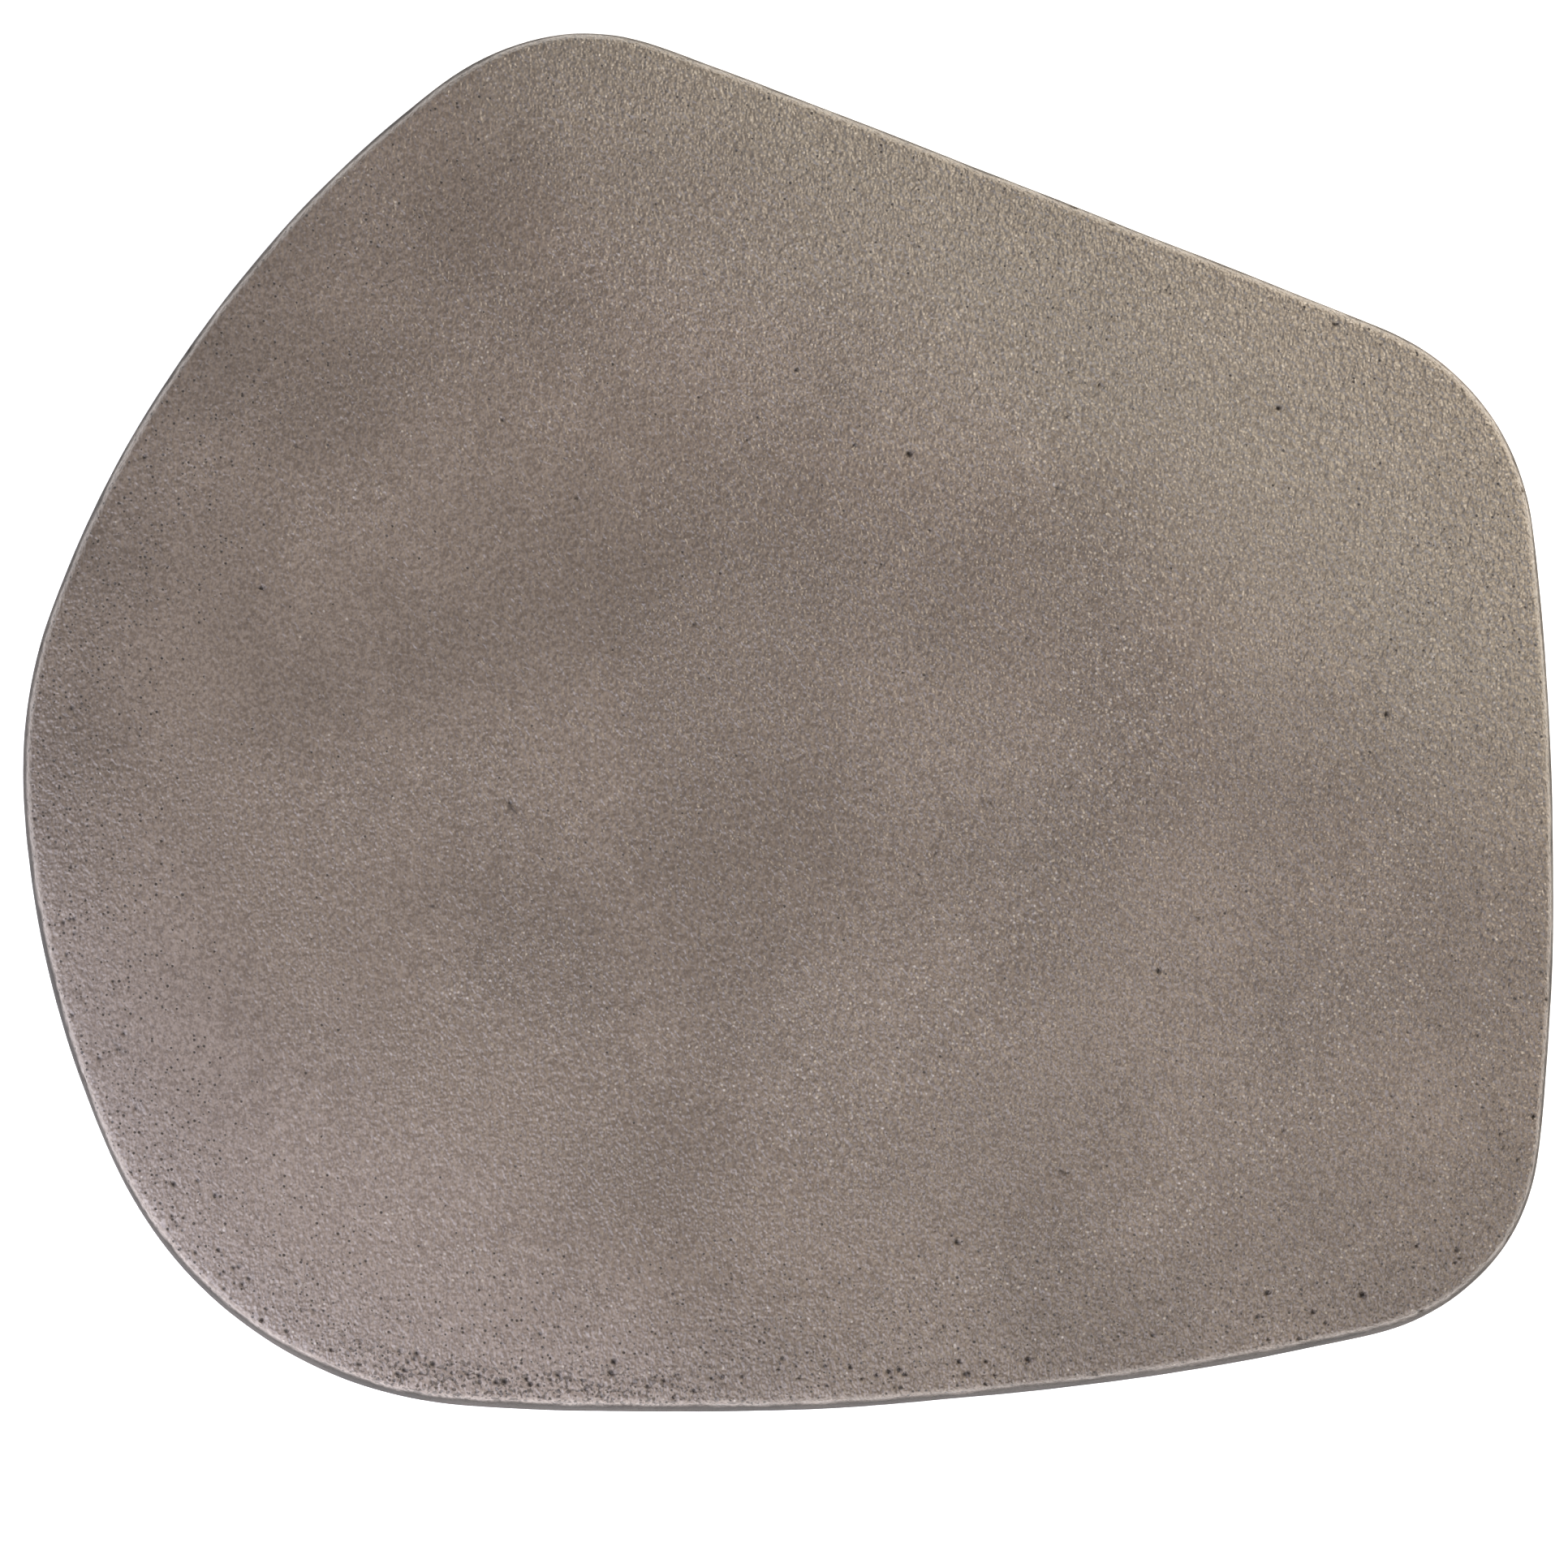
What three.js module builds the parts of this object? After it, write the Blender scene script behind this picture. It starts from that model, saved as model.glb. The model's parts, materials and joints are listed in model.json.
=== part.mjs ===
// A basalt massage stone: one piece of dense volcanic rock, a flat rounded pebble that is
// warmed and laid on the back or the belly. Its outline has five soft corners, its upper face
// is slightly crowned, its sides bow out a little and its underside is honed flat to rest on.
// Millimetres, +Z up, origin under the middle of the stone on the surface that it lies on.

import * as THREE from 'three';
import { mergeVertices } from 'three/addons/utils/BufferGeometryUtils.js';

// Thickness at the crown, and the height of the stone's widest line above its base
const thickness = 18;
const bellyHeight = 9.6;
const bellyWander = 0.8;

// Upper face: a broad dome about the crown, and a steeper roll-off beside the edge
const crown = new THREE.Vector2(-4, 3);
const domeDrop = 0.6;
const domeReach = 48;
const upperRollDrop = 0.7;
const upperRollWidth = 10;

// Underside: flat in the middle, lifting off the table towards the edge
const lowerRollLift = 0.9;
const lowerRollWidth = 12;

// Both roll-offs steepen towards the edge as this power of the way there
const rollPower = 3;

// Shoulders: how far each reaches in from the widest line, how much further it reaches on the
// +Y side and less on the -Y side, and how square its section is. The upper one is a tight worn
// edge, and the lower one is round, as on a river pebble.
const upperShoulder = { reach: 0.65, wander: 0.05, squareness: 8 };
const lowerShoulder = { reach: 3.8, wander: -0.5, squareness: 3 };

// Mesh: divisions across the faces and down the side, whose rows crowd towards the shoulders
const faceDivisions = 32;
const sideDivisions = 14;
const rowCrowding = 3;
const outlineSamples = 1440;

// Share of the outline's length used on each side of a place to find its direction there
const directionStep = 0.0005;

// The outline seen from above, anticlockwise. Each corner is a circle, and each side is a long
// arc of sideRadius that touches the circle of its own corner and that of the next one.
const corners = [
  { centre: new THREE.Vector2(33.1, 11.2), radius: 15.6, sideRadius: 4000, seam: true },
  { centre: new THREE.Vector2(-13.4, 30.6), radius: 14.4, sideRadius: 77, seam: true },
  { centre: new THREE.Vector2(-20.6, -3.1), radius: 29.4, sideRadius: 67, seam: false },
  { centre: new THREE.Vector2(-19.4, -17.7), radius: 27, sideRadius: 215, seam: true },
  { centre: new THREE.Vector2(35.7, -26.8), radius: 13.4, sideRadius: 183, seam: true },
];

// Centre of the side arc that holds both corner circles and touches each from inside
function sideCentre(corner, next) {
  const along = next.centre.clone().sub(corner.centre);
  const span = along.length();
  const reach = corner.sideRadius - corner.radius;
  const nextReach = corner.sideRadius - next.radius;
  const foot = (reach ** 2 - nextReach ** 2 + span ** 2) / (2 * span);
  const height = Math.sqrt(reach ** 2 - foot ** 2);
  along.normalize();
  const inward = new THREE.Vector2(-along.y, along.x);
  return corner.centre.clone().addScaledVector(along, foot).addScaledVector(inward, height);
}

function bearing(from, to) {
  return to.clone().sub(from).angle();
}

function arc(centre, radius, start, end) {
  return new THREE.EllipseCurve(centre.x, centre.y, radius, radius, start, end, false, 0);
}

// Corner arc, side arc, corner arc, and so on round the stone
function makeOutline() {
  const outline = new THREE.CurvePath();
  const count = corners.length;
  corners.forEach((corner, i) => {
    const next = corners[(i + 1) % count];
    const side = sideCentre(corner, next);
    const lastSide = sideCentre(corners[(i + count - 1) % count], corner);
    const start = bearing(lastSide, corner.centre);
    const turn = bearing(side, corner.centre);
    const end = bearing(side, next.centre);
    outline.add(arc(corner.centre, corner.radius, start, turn));
    outline.add(arc(side, corner.sideRadius, turn, end));
  });
  return outline;
}

const outline = makeOutline();
const outlineLength = outline.getLength();
const outlinePoints = outline.getSpacedPoints(outlineSamples);

// A box's four upright edges go to the middles of the four sharpest corners
const seams = [];
outline.getCurveLengths().forEach((length, i, lengths) => {
  if (i % 2 === 0 && corners[i / 2].seam) {
    const before = i === 0 ? 0 : lengths[i - 1];
    seams.push((before + length) / 2 / outlineLength);
  }
});

// Place on the outline: quarter 0 runs from the first seam to the second, and so on
function placeAlong(quarter, fraction) {
  const start = seams[quarter];
  const end = quarter === 3 ? seams[0] + 1 : seams[quarter + 1];
  return (start + (end - start) * fraction) % 1;
}

// Point at a place on the outline, moved square to it towards the middle of the stone
function insetPoint(place, inset) {
  const point = outline.getPoint(place);
  const ahead = outline.getPoint((place + directionStep) % 1);
  const behind = outline.getPoint((place - directionStep + 1) % 1);
  const along = ahead.sub(behind).normalize();
  return new THREE.Vector2(point.x - along.y * inset, point.y + along.x * inset);
}

// Place on the outline of a point on the rim of the unit square, u to the right and v up
function rimPlace(u, v) {
  if (v === 1) return placeAlong(0, 1 - u);
  if (u === 0) return placeAlong(1, 1 - v);
  if (v === 0) return placeAlong(2, u);
  return placeAlong(3, v);
}

function angleAt(place) {
  return outline.getPoint(place).angle();
}

function shoulderReach(shoulder, angle) {
  return shoulder.reach + shoulder.wander * Math.sin(angle);
}

function upperFaceHeight(point, edgeDistance) {
  const dome = domeDrop * (point.distanceTo(crown) / domeReach) ** 2;
  const roll = upperRollDrop * Math.max(0, 1 - edgeDistance / upperRollWidth) ** rollPower;
  return thickness - dome - roll;
}

function lowerFaceHeight(edgeDistance) {
  return lowerRollLift * Math.max(0, 1 - edgeDistance / lowerRollWidth) ** rollPower;
}

// Side of the stone: level is 1 at the upper shoulder, 0 at the belly, -1 at the lower shoulder
function sidePoint(place, level) {
  const angle = angleAt(place);
  const upper = level >= 0;
  const shoulder = upper ? upperShoulder : lowerShoulder;
  const rise = 1 - (1 - Math.abs(level)) ** rowCrowding;
  const bulge = Math.sqrt(1 - rise ** shoulder.squareness);
  const inset = shoulderReach(shoulder, angle) * (1 - bulge);
  const plan = insetPoint(place, inset);
  const belly = bellyHeight + bellyWander * Math.sin(2 * angle);
  const edge = insetPoint(place, 0);
  const faceHeight = upper ? upperFaceHeight(plan, inset) : lowerFaceHeight(inset);
  const rimHeight = upper ? upperFaceHeight(edge, 0) : lowerFaceHeight(0);
  const z = faceHeight - (rimHeight - belly) * (1 - rise);
  return new THREE.Vector3(plan.x, plan.y, z);
}

// Point on the rim of a face, where the shoulder ends and the face begins
function faceRim(u, v, shoulder) {
  const place = rimPlace(u, v);
  return insetPoint(place, shoulderReach(shoulder, angleAt(place)));
}

// Inside of a face: the four rims blended across it, as in a Coons patch
function faceInside(u, v, shoulder) {
  const point = new THREE.Vector2();
  point.addScaledVector(faceRim(u, 0, shoulder), 1 - v);
  point.addScaledVector(faceRim(u, 1, shoulder), v);
  point.addScaledVector(faceRim(0, v, shoulder), 1 - u);
  point.addScaledVector(faceRim(1, v, shoulder), u);
  point.addScaledVector(faceRim(0, 0, shoulder), -(1 - u) * (1 - v));
  point.addScaledVector(faceRim(1, 0, shoulder), -u * (1 - v));
  point.addScaledVector(faceRim(0, 1, shoulder), -(1 - u) * v);
  point.addScaledVector(faceRim(1, 1, shoulder), -u * v);
  return point;
}

function distanceToEdge(point) {
  return Math.min(...outlinePoints.map((edge) => edge.distanceTo(point)));
}

function facePoint(u, v, upper) {
  const plan = faceInside(u, v, upper ? upperShoulder : lowerShoulder);
  const edgeDistance = distanceToEdge(plan);
  const z = upper ? upperFaceHeight(plan, edgeDistance) : lowerFaceHeight(edgeDistance);
  return new THREE.Vector3(plan.x, plan.y, z);
}

// A divided box whose top and bottom become the two faces and whose four walls become the side
function makeStoneGeometry() {
  const box = new THREE.BoxGeometry(2, 2, 2, faceDivisions, faceDivisions, sideDivisions);
  box.deleteAttribute('normal');
  box.deleteAttribute('uv');
  const geometry = mergeVertices(box);
  const position = geometry.attributes.position;
  for (let i = 0; i < position.count; i += 1) {
    const u = (position.getX(i) + 1) / 2;
    const v = (position.getY(i) + 1) / 2;
    const level = position.getZ(i);
    const onRim = u === 0 || u === 1 || v === 0 || v === 1;
    const point = onRim ? sidePoint(rimPlace(u, v), level) : facePoint(u, v, level > 0);
    position.setXYZ(i, point.x, point.y, point.z);
  }
  geometry.computeBoundingBox();
  const middle = geometry.boundingBox.getCenter(new THREE.Vector3());
  geometry.translate(-middle.x, -middle.y, -geometry.boundingBox.min.z);
  geometry.computeVertexNormals();
  return geometry;
}

// Honed basalt, warm grey, with the low sheen of a stone that has been oiled and handled
function makeBasalt() {
  return new THREE.MeshStandardMaterial({ color: 0x8a7e76, roughness: 0.55, metalness: 0 });
}

const stone = new THREE.Mesh(makeStoneGeometry(), makeBasalt());
stone.name = 'massage_stone';

const massageStone = new THREE.Group();
massageStone.add(stone);

export default massageStone;
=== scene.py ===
import json
import math
import random

import bpy
from mathutils import Euler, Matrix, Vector, kdtree

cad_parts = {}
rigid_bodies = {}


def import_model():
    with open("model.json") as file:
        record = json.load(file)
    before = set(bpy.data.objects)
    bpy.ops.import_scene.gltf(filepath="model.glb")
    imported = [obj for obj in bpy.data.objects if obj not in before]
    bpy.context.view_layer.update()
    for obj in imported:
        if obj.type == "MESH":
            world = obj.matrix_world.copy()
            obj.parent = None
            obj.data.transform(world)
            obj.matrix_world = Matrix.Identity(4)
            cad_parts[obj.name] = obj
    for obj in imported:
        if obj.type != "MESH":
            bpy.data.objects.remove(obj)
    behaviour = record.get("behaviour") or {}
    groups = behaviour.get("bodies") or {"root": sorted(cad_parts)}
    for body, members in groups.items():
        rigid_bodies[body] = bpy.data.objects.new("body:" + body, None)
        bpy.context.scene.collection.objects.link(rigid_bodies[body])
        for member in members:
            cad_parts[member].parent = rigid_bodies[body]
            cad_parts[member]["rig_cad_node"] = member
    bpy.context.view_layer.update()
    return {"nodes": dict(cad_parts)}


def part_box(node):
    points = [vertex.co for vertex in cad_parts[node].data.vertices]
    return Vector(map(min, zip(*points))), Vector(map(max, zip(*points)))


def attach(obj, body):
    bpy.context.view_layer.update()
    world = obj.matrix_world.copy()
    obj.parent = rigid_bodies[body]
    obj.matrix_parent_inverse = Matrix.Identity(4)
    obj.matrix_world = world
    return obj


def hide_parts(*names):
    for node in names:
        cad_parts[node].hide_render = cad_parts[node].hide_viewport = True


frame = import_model()


# The stone: a single pebble of dense basalt. Its faces were honed flat and its edge was left with a
# tight worn shoulder, then it was tumbled, so the broad surface is smooth but never quite even.
mm = 0.001
cad_stone = frame["nodes"]["massage_stone"]
stone_low, stone_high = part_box("massage_stone")
widest_share = 8 / 15  # of the thickness: the side is widest a little above its middle
belly_height = stone_low.z + widest_share * (stone_high.z - stone_low.z)

bpy.ops.object.select_all(action="DESELECT")
stone = cad_stone.copy()
stone.data = cad_stone.data.copy()
stone.name = "basalt_stone"
stone.data.name = "basalt_stone"
del stone["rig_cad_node"]
bpy.context.scene.collection.objects.link(stone)
stone.select_set(True)
bpy.context.view_layer.objects.active = stone

# The copy is loose triangles. They are merged and paired into quads, which subdivide evenly
bpy.ops.object.mode_set(mode="EDIT")
bpy.ops.mesh.select_all(action="SELECT")
bpy.ops.mesh.remove_doubles(threshold=0.001 * mm)
bpy.ops.mesh.customdata_custom_splitnormals_clear()
bpy.ops.mesh.tris_convert_to_quads(
    face_threshold=math.radians(40),
    shape_threshold=math.radians(120),
    topology_influence=1.0,
)
bpy.ops.object.mode_set(mode="OBJECT")


def apply_modifier(piece, kind, **settings):
    """Gives a piece a modifier with these settings, and applies it"""
    modifier = piece.modifiers.new(kind.title(), kind)
    for name, value in settings.items():
        setattr(modifier, name, value)
    bpy.ops.object.modifier_apply(modifier=modifier.name)


apply_modifier(stone, "SUBSURF", levels=2, render_levels=2)

# The widest line round the stone, kept to measure how far a place is from the edge
belly_reach = 0.6 * mm
belly = [v.co.copy() for v in stone.data.vertices if abs(v.co.z - belly_height) < belly_reach]
edge_line = kdtree.KDTree(len(belly))
for index, centre in enumerate(belly):
    edge_line.insert((centre.x, centre.y, 0), index)
edge_line.balance()


def edge_distance(centre):
    """How far a place is from the widest line of the stone, seen from above"""
    return edge_line.find((centre.x, centre.y, 0))[2]


# Relief left by honing and tumbling: size across the swells, and their height
for name, width, rise in (
    ("hand_honed_swell", 14 * mm, 0.16 * mm),
    ("tumbled_dimple", 3.2 * mm, 0.035 * mm),
    ("orange_peel", 1.3 * mm, 0.016 * mm),
):
    swell = bpy.data.textures.new(name, "CLOUDS")
    swell.noise_scale = width
    swell.noise_depth = 1
    apply_modifier(
        stone, "DISPLACE",
        texture=swell,
        texture_coords="LOCAL",
        strength=rise,
        mid_level=0.5,
    )


# Open pores: gas bubbles in the lava, cut through by the honing. Each is a round hollow pressed into
# a finer patch of the mesh. They crowd along the lower and left edges, where less skin was honed away.
random.seed(7)
lower_bearing = math.radians(255)
band_width = 3.5 * mm
strip_inset, strip_width = 1.6 * mm, 0.8 * mm
side_slope = 0.6  # below this upward share of its normal, a face belongs to the side

# How many pores a square centimetre has in each part of the stone
side_pores = 3.0
underside_pores = 1.5
open_face_pores = 0.25
band_pores = 14
strip_pores = 70
cm2_per_m2 = 1e4

# Most pores are 0.24 to 0.36 mm across, and a few are up to 0.56 mm. These are radii in mm
least_radius, usual_spread, rare_spread = 0.12, 0.06, 0.1


def pores_per_cm2(centre, normal):
    """The count for a face: high beside the lower edge, and highest in a strip along its shoulder"""
    if abs(normal.z) < side_slope:
        return side_pores
    if normal.z < 0:
        return underside_pores
    bearing = math.atan2(centre.y, centre.x)
    lower = 0.5 + 0.5 * math.cos(bearing - lower_bearing)
    band = math.exp(-((edge_distance(centre) / band_width) ** 2))
    strip = math.exp(-(((edge_distance(centre) - strip_inset) / strip_width) ** 2))
    return open_face_pores + band_pores * band * lower ** 2 + strip_pores * strip * lower ** 6


pores = []
for face in stone.data.polygons:
    expected = pores_per_cm2(face.center, face.normal) * face.area * cm2_per_m2
    if random.random() < expected:
        corners = [stone.data.vertices[i].co for i in face.vertices]
        slide, climb = random.random(), random.random()
        near = corners[0].lerp(corners[1], slide)
        far = corners[-1].lerp(corners[2], slide)
        usual = usual_spread * random.random()
        rare = rare_spread * random.random() ** 4
        radius = (least_radius + usual + rare) * mm
        pores.append((near.lerp(far, climb), face.normal.copy(), radius))

patch_margin = 0.3 * mm
face_places = kdtree.KDTree(len(stone.data.polygons))
for face in stone.data.polygons:
    face_places.insert(face.center, face.index)
face_places.balance()
around = set()
for centre, _, radius in pores:
    around |= {index for _, index, _ in face_places.find_range(centre, radius + patch_margin)}

for part in (stone.data.vertices, stone.data.edges, stone.data.polygons):
    part.foreach_set("select", [False] * len(part))
for index in around:
    stone.data.polygons[index].select = True
bpy.ops.object.mode_set(mode="EDIT")
bpy.ops.mesh.select_mode(type="FACE")
bpy.ops.mesh.subdivide(number_cuts=4)
bpy.ops.object.mode_set(mode="OBJECT")

# Each pore is as deep as its radius. Where two meet, the deeper one holds
vertex_places = kdtree.KDTree(len(stone.data.vertices))
for v in stone.data.vertices:
    vertex_places.insert(v.co, v.index)
vertex_places.balance()
upward = [v.normal.z for v in stone.data.vertices]
sunk = {}
for centre, normal, radius in pores:
    for _, index, distance in vertex_places.find_range(centre, radius):
        bowl = 1 - (distance / radius) ** 2
        if bowl > sunk.get(index, (0,))[0]:
            sunk[index] = (bowl, normal * (bowl * radius))
for index, (bowl, push) in sunk.items():
    stone.data.vertices[index].co -= push

# What the material needs to know of the shape at each vertex; it paints the hollows dark as painted
# shade
for name, values in (
    ("hollow", [sunk.get(v.index, (0,))[0] for v in stone.data.vertices]),
    ("edge_mm", [edge_distance(v.co) / mm for v in stone.data.vertices]),
    ("upward", upward),
):
    attribute = stone.data.attributes.new(name, "FLOAT", "POINT")
    attribute.data.foreach_set("value", values)

bpy.ops.object.select_all(action="DESELECT")
stone.select_set(True)
bpy.ops.object.shade_smooth()


# Basalt, honed and lightly oiled: a fine grey-brown rock. The sides are painted darker than the
# honed faces, as painted shade. The oil gives a low satin sheen that breaks up on the grain.
def linear(colour):
    """An sRGB hex colour as linear red, green, blue and alpha"""
    channels = [int(colour[i:i + 2], 16) / 255 for i in (1, 3, 5)]
    return [c / 12.92 if c <= 0.04045 else ((c + 0.055) / 1.055) ** 2.4 for c in channels] + [1]


def add(tree, kind, inputs=None, **settings):
    """Adds a node with its settings. An input is a number, a colour, a socket, or a node to link.
    A colour Mix has its share at 0 and its colours at 6 and 7, and a number Mix its ends at 2 and 3"""
    made = tree.nodes.new(kind)
    for name, value in settings.items():
        setattr(made, name, value)
    for name, value in (inputs or {}).items():
        if isinstance(value, bpy.types.Node):
            value = next(socket for socket in value.outputs if socket.enabled)
        if isinstance(value, bpy.types.NodeSocket):
            tree.links.new(value, made.inputs[name])
        else:
            made.inputs[name].default_value = value
    return made


basalt = bpy.data.materials.new("honed_basalt")
basalt.use_nodes = True
rock_tree = basalt.node_tree
rock_tree.nodes.clear()

# The shape as the material reads it. The edge counts millimetres inwards from the widest line
place = add(rock_tree, "ShaderNodeTexCoord").outputs["Object"]
axes = add(rock_tree, "ShaderNodeSeparateXYZ", {0: place}).outputs
edge = add(rock_tree, "ShaderNodeAttribute", attribute_name="edge_mm").outputs["Fac"]
facing = add(rock_tree, "ShaderNodeAttribute", attribute_name="upward").outputs["Fac"]
hollow = add(rock_tree, "ShaderNodeAttribute", attribute_name="hollow").outputs["Fac"]

# Clouding in the rock, and faint streaks drawn out along Y by the hone. Noise keeps mostly between
# 0.3 and 0.7, so here and below a ramp over about that span uses all of it
cloud_width = 15 * mm
streak_width = 1.4 * mm
streak_squeeze = 0.16  # along Y, which draws each streak out to 9 mm
dark_rock, pale_rock = linear("#7f7369"), linear("#908378")
streak_shade, white = linear("#f4f3f2"), linear("#ffffff")
clouding = add(rock_tree, "ShaderNodeTexNoise", {
    "Vector": place, "Scale": 1 / cloud_width, "Detail": 3.0, "Roughness": 0.5})
clouds = add(rock_tree, "ShaderNodeMapRange", {
    "Value": clouding, "From Min": 0.3, "From Max": 0.7}, interpolation_type="SMOOTHSTEP")
rock = add(rock_tree, "ShaderNodeMix", {0: clouds, 6: dark_rock, 7: pale_rock}, data_type="RGBA")
streak_place = add(rock_tree, "ShaderNodeMapping", {
    "Vector": place, "Scale": (1.0, streak_squeeze, 1.0)})
streaks = add(rock_tree, "ShaderNodeTexNoise", {
    "Vector": streak_place, "Scale": 1 / streak_width, "Detail": 2.0, "Roughness": 0.7})
streak_tone = add(rock_tree, "ShaderNodeMix", {0: streaks, 6: streak_shade, 7: white},
                  data_type="RGBA")
streaked = add(rock_tree, "ShaderNodeMix", {0: 1.0, 6: rock, 7: streak_tone},
               data_type="RGBA", blend_type="MULTIPLY")

# Painted light: a pale cool tint along the lower left edge and a pale warm one over the upper right,
# where the soft boxes light the stone. A dot product tells how far a place lies in a direction, and
# the painted light starts and is full at two such distances, which wander by up to 5 mm
wander_width, wander_reach = 9 * mm, 5 * mm
lower_left_starts, lower_left_full, lower_left_most = 29 * mm, 45 * mm, 0.55
upper_right_starts, upper_right_full, upper_right_most = 14 * mm, 34 * mm, 0.62
lower_left_light_paint, upper_right_light_paint = linear("#a3968f"), linear("#a0988a")
wander = add(rock_tree, "ShaderNodeTexNoise", {
    "Vector": place, "Scale": 1 / wander_width, "Detail": 2.0, "Roughness": 0.5})
wandering = add(rock_tree, "ShaderNodeMapRange", {
    "Value": wander, "To Min": -wander_reach, "To Max": wander_reach})
lower_left = add(rock_tree, "ShaderNodeVectorMath", {0: place, 1: (-0.62, -0.78, 0.0)},
                 operation="DOT_PRODUCT").outputs["Value"]
lower_left_wandered = add(rock_tree, "ShaderNodeMath", {0: lower_left, 1: wandering}, operation="ADD")
lower_left_light_share = add(rock_tree, "ShaderNodeMapRange", {
    "Value": lower_left_wandered, "From Min": lower_left_starts, "From Max": lower_left_full,
    "To Max": lower_left_most}, interpolation_type="SMOOTHSTEP")
upper_right = add(rock_tree, "ShaderNodeVectorMath", {0: place, 1: (0.6, 0.8, 0.0)},
                  operation="DOT_PRODUCT").outputs["Value"]
upper_right_wandered = add(rock_tree, "ShaderNodeMath", {0: upper_right, 1: wandering}, operation="ADD")
upper_right_light_share = add(rock_tree, "ShaderNodeMapRange", {
    "Value": upper_right_wandered, "From Min": upper_right_starts, "From Max": upper_right_full,
    "To Max": upper_right_most}, interpolation_type="SMOOTHSTEP")
half_light_painted = add(rock_tree, "ShaderNodeMix", {
    0: lower_left_light_share, 6: streaked, 7: lower_left_light_paint}, data_type="RGBA")
light_painted = add(rock_tree, "ShaderNodeMix", {
    0: upper_right_light_share, 6: half_light_painted, 7: upper_right_light_paint}, data_type="RGBA")

# A painted highlight makes the lower left edge a little paler still, within 1.6 mm of its rim
rim_highlight_pale, rim_highlight_most = linear("#c4b9b1"), 0.1
rim_highlight_reach = add(rock_tree, "ShaderNodeMapRange", {
    "Value": edge, "From Min": 1.6, "From Max": 0.8, "To Max": rim_highlight_most},
    interpolation_type="SMOOTHSTEP")
rim_highlight_side = add(rock_tree, "ShaderNodeMapRange", {
    "Value": lower_left, "From Min": 25 * mm, "From Max": 42 * mm},
    interpolation_type="SMOOTHSTEP")
rim_highlight = add(rock_tree, "ShaderNodeMath", {0: rim_highlight_reach, 1: rim_highlight_side}, operation="MULTIPLY")
rim_highlighted = add(rock_tree, "ShaderNodeMix", {0: rim_highlight, 6: light_painted, 7: rim_highlight_pale}, data_type="RGBA")

# The sides and the lower shoulder are painted darker than the two honed faces: painted shade. The
# upper face meets it in an uneven line on the shoulder, and the base meets it in a clean one
ragged_width, ragged_reach = 2.5 * mm, 0.5
dark_side_shade, pale_side_shade = linear("#37312c"), linear("#4c453f")
ragged = add(rock_tree, "ShaderNodeTexNoise", {
    "Vector": place, "Scale": 1 / ragged_width, "Detail": 3.0, "Roughness": 0.6})
ragged_facing = add(rock_tree, "ShaderNodeMath", {0: ragged, 1: ragged_reach, 2: facing},
                    operation="MULTIPLY_ADD")
upper_honed = add(rock_tree, "ShaderNodeMapRange", {
    "Value": ragged_facing, "From Min": 0.4, "From Max": 0.7}, interpolation_type="SMOOTHSTEP")
lower_honed = add(rock_tree, "ShaderNodeMapRange", {
    "Value": facing, "From Min": -0.93, "From Max": -0.99}, interpolation_type="SMOOTHSTEP")
honed_unshaded = add(rock_tree, "ShaderNodeMath", {0: upper_honed, 1: lower_honed}, operation="MAXIMUM")
side_shade_mottle = add(rock_tree, "ShaderNodeMapRange", {
    "Value": wander, "From Min": 0.35, "From Max": 0.65}, interpolation_type="SMOOTHSTEP")
side_shade = add(rock_tree, "ShaderNodeMix", {0: side_shade_mottle, 6: dark_side_shade, 7: pale_side_shade},
           data_type="RGBA")
side_shaded = add(rock_tree, "ShaderNodeMix", {0: honed_unshaded, 6: side_shade, 7: rim_highlighted}, data_type="RGBA")

# Mineral grains, 0.3 mm down to 0.15 mm, drawn a little longer along Y
grain_width = 0.3 * mm
grain_squeeze = (1.15, 0.9, 1.0)
grain_dark = linear("#cecac7")
grain_place = add(rock_tree, "ShaderNodeMapping", {"Vector": place, "Scale": grain_squeeze})
grains = add(rock_tree, "ShaderNodeTexNoise", {
    "Vector": grain_place, "Scale": 1 / grain_width, "Detail": 1.0, "Roughness": 1.0})
grain_shade = add(rock_tree, "ShaderNodeMapRange", {
    "Value": grains, "From Min": 0.3, "From Max": 0.7}, interpolation_type="SMOOTHSTEP")
grain_tone = add(rock_tree, "ShaderNodeMix", {0: grain_shade, 6: grain_dark, 7: white},
                 data_type="RGBA")
grained = add(rock_tree, "ShaderNodeMix", {0: 1.0, 6: side_shaded, 7: grain_tone},
              data_type="RGBA", blend_type="MULTIPLY")

# How coarse the surface is left: a little more beside the edge, much more towards the blunt end at
# +X, and more in patches. The worn shoulder and the lower left zone of painted light are smoother
patch_width = 20 * mm
half_length = 45 * mm
edge_adds = 0.3
narrow_end_adds, blunt_end_adds = -0.55, 1.3
smooth_patch, rough_patch = 0.85, 1.4
shoulder_keeps, light_zone_keeps = 0.5, 0.6
edge_coarse = add(rock_tree, "ShaderNodeMapRange", {
    "Value": edge, "From Min": 9.0, "From Max": 2.0, "To Max": edge_adds},
    interpolation_type="SMOOTHSTEP")
end_coarse = add(rock_tree, "ShaderNodeMapRange", {
    "Value": axes["X"], "From Min": -half_length, "From Max": half_length,
    "To Min": narrow_end_adds, "To Max": blunt_end_adds})
patches = add(rock_tree, "ShaderNodeTexNoise", {
    "Vector": place, "Scale": 1 / patch_width, "Detail": 2.0, "Roughness": 0.5})
patch_coarse = add(rock_tree, "ShaderNodeMapRange", {
    "Value": patches, "From Min": 0.35, "From Max": 0.65,
    "To Min": smooth_patch, "To Max": rough_patch}, interpolation_type="SMOOTHSTEP")
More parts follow.
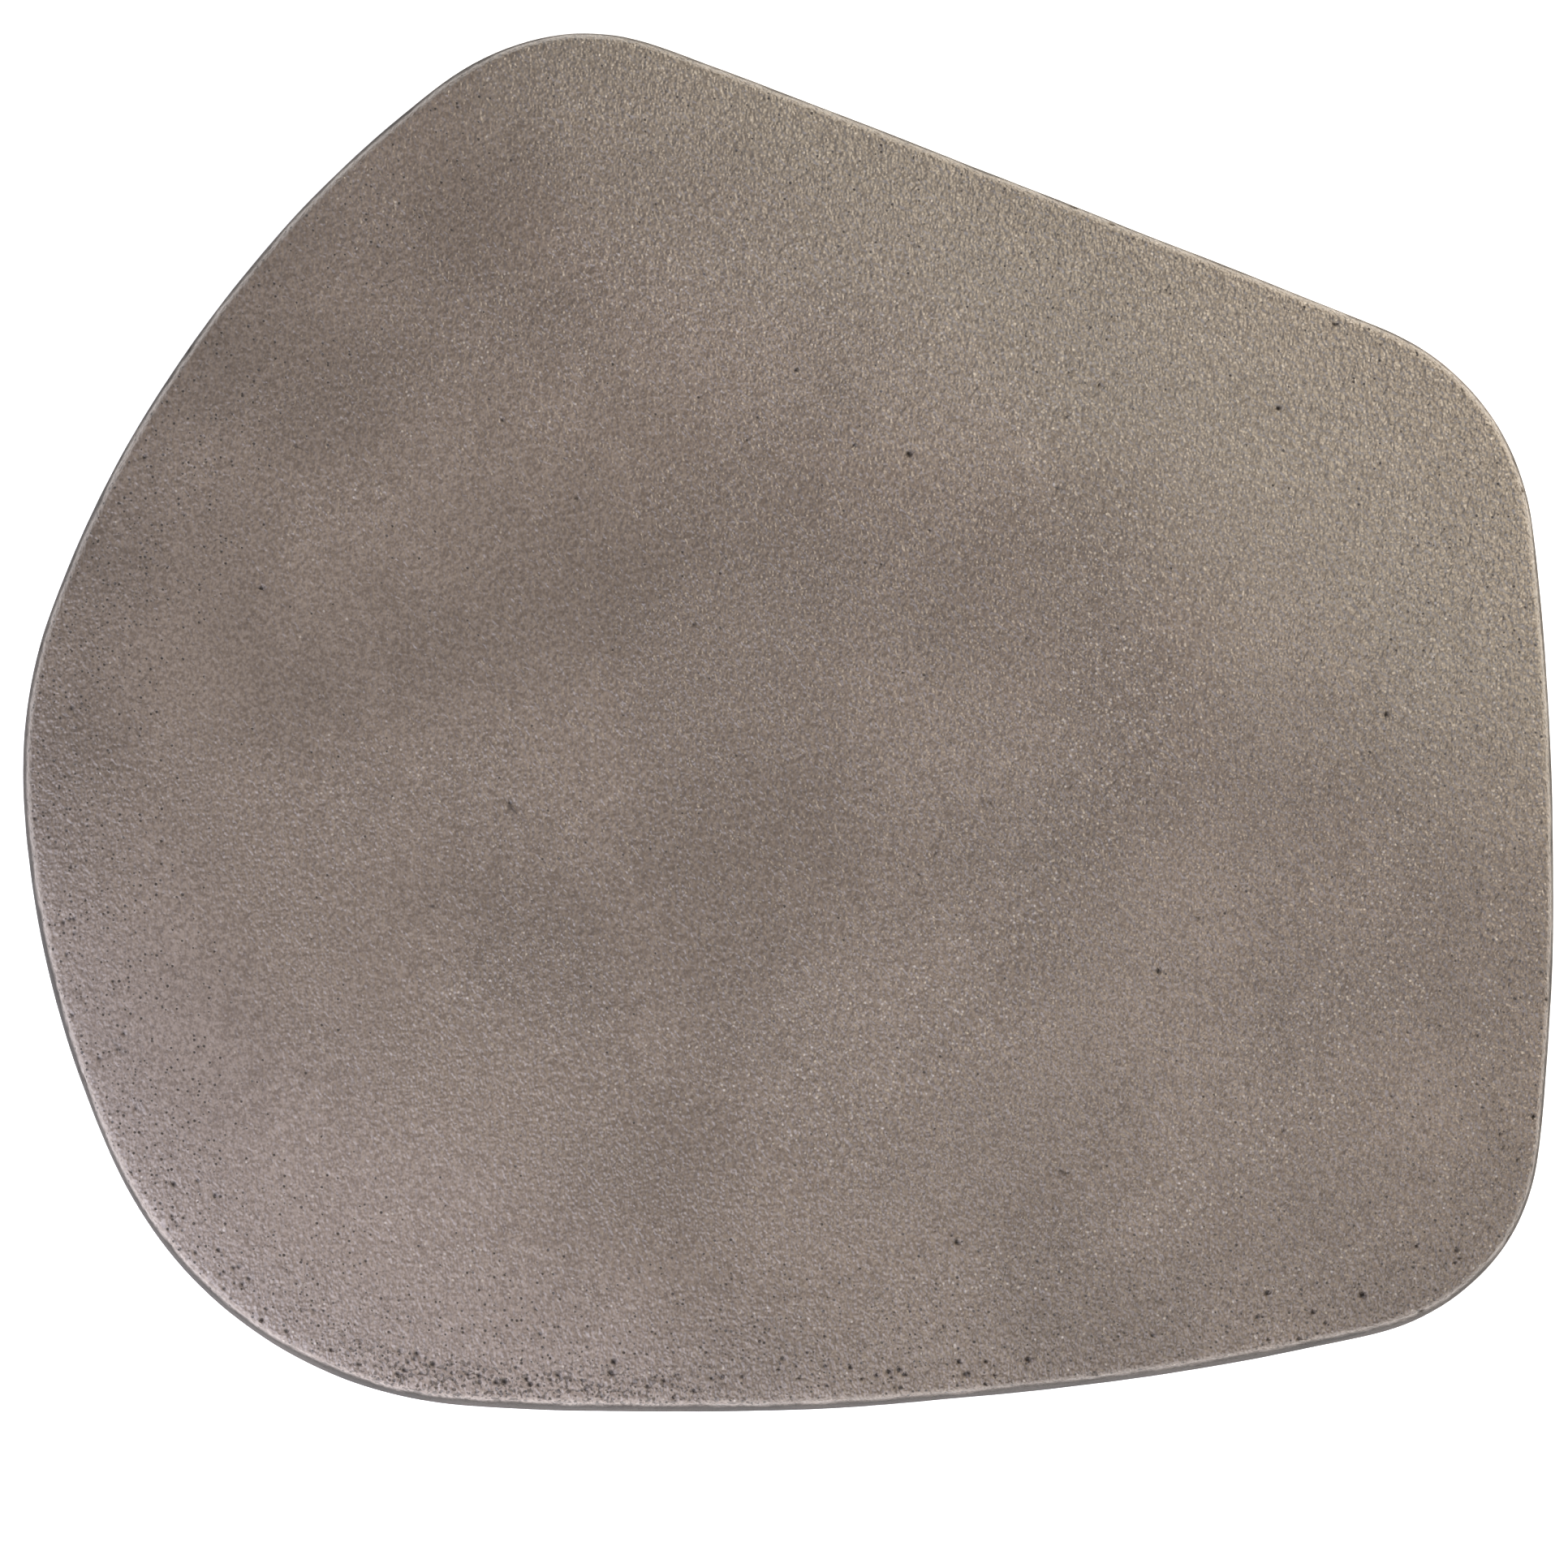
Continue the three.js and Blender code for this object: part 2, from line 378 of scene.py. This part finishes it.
coarse = add(rock_tree, "ShaderNodeMath", {0: edge_coarse, 1: end_coarse}, operation="ADD")
coarser = add(rock_tree, "ShaderNodeMath", {0: coarse, 1: patch_coarse}, operation="ADD")
shoulder_worn = add(rock_tree, "ShaderNodeMapRange", {
    "Value": edge, "From Min": 0.15, "From Max": 0.6, "To Min": shoulder_keeps, "To Max": 1.0},
    interpolation_type="SMOOTHSTEP")
light_zone_smoother = add(rock_tree, "ShaderNodeMapRange", {
    "Value": lower_left_light_share, "From Max": lower_left_most, "To Min": 1.0,
    "To Max": light_zone_keeps})
worn_skin = add(rock_tree, "ShaderNodeMath", {0: shoulder_worn, 1: light_zone_smoother},
                operation="MULTIPLY")
coarseness = add(rock_tree, "ShaderNodeMath", {0: coarser, 1: worn_skin}, operation="MULTIPLY")

# Fine pores, 0.15 to 0.25 mm across, each in one cell of a network, sunk in the bump and painted
# dark as painted shade. The share of cells that have one is highest in a band beside the lower left
# edge. Their size is in cell widths
cell_width = 0.35 * mm
least_pore, most_pore = 0.22, 0.37
upper_right_share, lower_left_share = 0.14, 0.52
patches_share = 0.06
cells = add(rock_tree, "ShaderNodeTexVoronoi", {
    "Vector": place, "Scale": 1 / cell_width, "Randomness": 1.0})
cell_draw = add(rock_tree, "ShaderNodeSeparateColor", {0: cells.outputs["Color"]}).outputs
edge_share = add(rock_tree, "ShaderNodeMapRange", {
    "Value": edge, "From Min": 13.0, "From Max": 3.0}, interpolation_type="SMOOTHSTEP")
side_share = add(rock_tree, "ShaderNodeMapRange", {
    "Value": lower_left, "From Min": -20 * mm, "From Max": 25 * mm,
    "To Min": upper_right_share, "To Max": lower_left_share}, interpolation_type="SMOOTHSTEP")
band_share = add(rock_tree, "ShaderNodeMath", {0: edge_share, 1: side_share},
                 operation="MULTIPLY")
patch_share = add(rock_tree, "ShaderNodeMapRange", {
    "Value": wander, "From Min": 0.4, "From Max": 0.7, "To Max": patches_share},
    interpolation_type="SMOOTHSTEP")
pore_share = add(rock_tree, "ShaderNodeMath", {0: band_share, 1: patch_share}, operation="ADD")
has_pore = add(rock_tree, "ShaderNodeMath", {0: cell_draw[0], 1: pore_share},
               operation="LESS_THAN")
pore_size = add(rock_tree, "ShaderNodeMapRange", {
    "Value": cell_draw[1], "To Min": least_pore, "To Max": most_pore})
pore_reach = add(rock_tree, "ShaderNodeMath", {
    0: cells.outputs["Distance"], 1: pore_size}, operation="DIVIDE")
pore_shape = add(rock_tree, "ShaderNodeMapRange", {
    "Value": pore_reach, "From Min": 1.0, "From Max": 0.5}, interpolation_type="SMOOTHSTEP")
fine_pore = add(rock_tree, "ShaderNodeMath", {0: pore_shape, 1: has_pore}, operation="MULTIPLY")

# Pitting: where the skin was honed least, pores run together into crooked pits 0.2 to 0.4 mm
# across. They are shallow over the band and deep in a strip beside the lower edge, and their dark
# colour is painted shade
pit_width = 0.26 * mm
shallow_pit, deep_pit = 0.24, 0.7
strip_more = 0.3
few_pits, many_pits = 0.67, 0.54  # what the noise has to pass for a pit to open
pit_slope = 0.08
low_edge = add(rock_tree, "ShaderNodeVectorMath", {0: place, 1: (-0.25, -0.97, 0.0)},
               operation="DOT_PRODUCT").outputs["Value"]
low_edge_share = add(rock_tree, "ShaderNodeMapRange", {
    "Value": low_edge, "From Min": 41 * mm, "From Max": 46 * mm}, interpolation_type="SMOOTHSTEP")
strip_share = add(rock_tree, "ShaderNodeMapRange", {
    "Value": edge, "From Min": 3.5, "From Max": 1.8}, interpolation_type="SMOOTHSTEP")
stretch = add(rock_tree, "ShaderNodeMapRange", {
    "Value": axes["X"], "From Min": -34 * mm, "From Max": -24 * mm},
    interpolation_type="SMOOTHSTEP")
low_stretch = add(rock_tree, "ShaderNodeMath", {0: low_edge_share, 1: stretch},
                  operation="MULTIPLY")
low_strip = add(rock_tree, "ShaderNodeMath", {0: low_stretch, 1: strip_share},
                operation="MULTIPLY")
pitted_share = add(rock_tree, "ShaderNodeMath", {0: low_strip, 1: strip_more, 2: band_share},
                   operation="MULTIPLY_ADD")
pit_threshold = add(rock_tree, "ShaderNodeMapRange", {
    "Value": pitted_share, "From Max": 0.7, "To Min": few_pits, "To Max": many_pits})
pit_noise = add(rock_tree, "ShaderNodeTexNoise", {
    "Vector": place, "Scale": 1 / pit_width, "Detail": 1.0, "Roughness": 0.3})
pit_rise = add(rock_tree, "ShaderNodeMath", {0: pit_noise, 1: pit_threshold},
               operation="SUBTRACT")
pit_shade_and_depth = add(rock_tree, "ShaderNodeMapRange", {
    "Value": low_strip, "To Min": shallow_pit, "To Max": deep_pit})
crooked_pit = add(rock_tree, "ShaderNodeMapRange", {
    "Value": pit_rise, "From Max": pit_slope, "To Max": pit_shade_and_depth},
    interpolation_type="SMOOTHSTEP")
fine_pit = add(rock_tree, "ShaderNodeMath", {0: fine_pore, 1: crooked_pit}, operation="MAXIMUM")
pit = add(rock_tree, "ShaderNodeMath", {0: hollow, 1: fine_pit}, operation="MAXIMUM")

# Pale crystals, 0.15 mm across, in cells of the same network, drawn apart from the pores: few where
# the surface is fine, and in up to a quarter of the cells where it is coarse. They are partly the
# rock's pale crystals and partly painted glints. They keep off the sides
crystal_glint_pale, crystal_glint_most = linear("#d8cfc4"), 0.45
bare_where_fine, bare_where_coarse = 0.985, 0.75  # share of the cells without a crystal
# Painted shade: the dark colour of the pores and pits
pore_shade_dark = linear("#3a312b")
crystal_glint_share = add(rock_tree, "ShaderNodeMapRange", {
    "Value": coarser, "From Min": 0.9, "From Max": 2.2, "To Min": bare_where_fine,
    "To Max": bare_where_coarse})
has_crystal_glint = add(rock_tree, "ShaderNodeMath", {0: cell_draw[2], 1: crystal_glint_share},
                  operation="GREATER_THAN")
crystal_glint_shape = add(rock_tree, "ShaderNodeMapRange", {
    "Value": cells.outputs["Distance"], "From Min": 0.34, "From Max": 0.1, "To Max": crystal_glint_most},
    interpolation_type="SMOOTHSTEP")
whole_crystal_glint = add(rock_tree, "ShaderNodeMath", {0: crystal_glint_shape, 1: has_crystal_glint},
                    operation="MULTIPLY")
crystal_glint = add(rock_tree, "ShaderNodeMath", {0: whole_crystal_glint, 1: honed_unshaded}, operation="MULTIPLY")
glint_flecked = add(rock_tree, "ShaderNodeMix", {0: crystal_glint, 6: grained, 7: crystal_glint_pale},
              data_type="RGBA")
pore_shaded = add(rock_tree, "ShaderNodeMix", {0: pit, 6: glint_flecked, 7: pore_shade_dark}, data_type="RGBA")

# The feel of the grain: 0.38 mm unevenness and 0.19 mm grains, with the fine pores sunk in it
peel_width, peel_height = 0.38 * mm, 0.2 * mm
fine_pit_depth = 0.25  # as a share of the grain's height
peel = add(rock_tree, "ShaderNodeTexNoise", {
    "Vector": grain_place, "Scale": 1 / peel_width, "Detail": 1.0, "Roughness": 1.0})
peel_rise = add(rock_tree, "ShaderNodeMath", {0: peel, 1: coarseness}, operation="MULTIPLY")
pore_depth = add(rock_tree, "ShaderNodeMath", {0: fine_pit, 1: fine_pit_depth},
                 operation="MULTIPLY")
unevenness = add(rock_tree, "ShaderNodeMath", {0: peel_rise, 1: pore_depth},
                 operation="SUBTRACT")
relief = add(rock_tree, "ShaderNodeBump", {
    "Height": unevenness, "Strength": 1.0, "Distance": peel_height})

# Satin on the honed faces, a little glossier where the rim is rubbed, and dull on the sides
honed_roughness, rim_roughness, side_roughness = 0.42, 0.3, 0.95
basalt_ior = 1.6
rim_worn = add(rock_tree, "ShaderNodeMapRange", {
    "Value": edge, "From Min": 1.4, "From Max": 0.3,
    "To Min": honed_roughness, "To Max": rim_roughness}, interpolation_type="SMOOTHSTEP")
roughness = add(rock_tree, "ShaderNodeMix", {0: honed_unshaded, 2: side_roughness, 3: rim_worn},
                data_type="FLOAT")
finish = add(rock_tree, "ShaderNodeBsdfPrincipled", {
    "Base Color": pore_shaded, "Roughness": roughness, "IOR": basalt_ior, "Normal": relief})
add(rock_tree, "ShaderNodeOutputMaterial", {"Surface": finish})

stone.data.materials.clear()
stone.data.materials.append(basalt)
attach(stone, "root")
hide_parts("massage_stone")


# Studio: a white light table, a warm soft box low on the right, a cool one and a neutral one low in
# front, so that the grain is raked from both sides, and bright walls under a dim ceiling.
table_size, table_glow = 4.0, 0.7
table_height = min(v.co.z for v in stone.data.vertices)
bpy.ops.mesh.primitive_plane_add(size=table_size, location=(0, 0, table_height))
floor = bpy.context.active_object
floor.name = "floor"
acrylic = bpy.data.materials.new("white_acrylic")
acrylic.use_nodes = True
acrylic_finish = acrylic.node_tree.nodes["Principled BSDF"].inputs
acrylic_finish["Base Color"].default_value = linear("#f6f6f6")
acrylic_finish["Roughness"].default_value = 0.9
acrylic_finish["Emission Color"].default_value = white
acrylic_finish["Emission Strength"].default_value = table_glow
floor.data.materials.append(acrylic)


def soft_box(name, place, size, watts, colour):
    """A square soft box, in metres and watts, that faces the stone's top and isn't seen itself"""
    light = bpy.data.lights.new(name, "AREA")
    light.size = size
    light.energy = watts
    light.color = linear(colour)[:3]
    box = bpy.data.objects.new(name, light)
    box.location = place
    facing_stone = Vector((0, 0, stone_high.z)) - Vector(place)
    box.rotation_mode = "QUATERNION"
    box.rotation_quaternion = facing_stone.to_track_quat("-Z", "Y")
    box.visible_camera = False
    bpy.context.scene.collection.objects.link(box)


soft_box("warm_right", (0.16, 0.12, 0.098), size=0.09, watts=0.37, colour="#fff2df")
soft_box("cool_front_left", (-0.14, -0.13, 0.135), size=0.15, watts=0.41, colour="#ecedff")
soft_box("front", (0.06, -0.2, 0.11), size=0.12, watts=0.17, colour="#fbf7f2")

ceiling_light, wall_light = 0.18, 1.05
ceiling_starts, wall_starts = 0.75, 0.3  # how steeply upward a look has to point
world = bpy.data.worlds.new("studio_walls")
bpy.context.scene.world = world
world.use_nodes = True
room_tree = world.node_tree
looking = add(room_tree, "ShaderNodeTexCoord").outputs["Generated"]
steepness = add(room_tree, "ShaderNodeSeparateXYZ", {0: looking}).outputs["Z"]
walls = add(room_tree, "ShaderNodeMapRange", {
    "Value": steepness, "From Min": ceiling_starts, "From Max": wall_starts,
    "To Min": ceiling_light, "To Max": wall_light}, interpolation_type="SMOOTHSTEP")
room_tree.links.new(walls.outputs["Result"], room_tree.nodes["Background"].inputs["Strength"])
room_tree.nodes["Background"].inputs["Color"].default_value = white

# Camera: almost straight above, with a long lens, its top edge towards +Y. It leans a little to the
# lower left, so that a sliver of the near side shows there.
lens = 600.0
sensor = 36.0
seen_width = 102.6 * mm
lean = Euler((math.radians(2.9), math.radians(-1.3), 0))
aim = Vector((-0.18 * mm, -3.9 * mm, belly_height))
camera = bpy.data.objects.new("camera", bpy.data.cameras.new("camera"))
camera.data.lens = lens
camera.data.sensor_width = sensor
camera.data.clip_start = 0.01
camera.data.clip_end = 20
camera.rotation_euler = lean
back = Vector((0, 0, seen_width * lens / sensor))
camera.location = aim + lean.to_matrix() @ back
bpy.context.scene.collection.objects.link(camera)
bpy.context.scene.camera = camera
bpy.context.scene.view_settings.view_transform = "Standard"
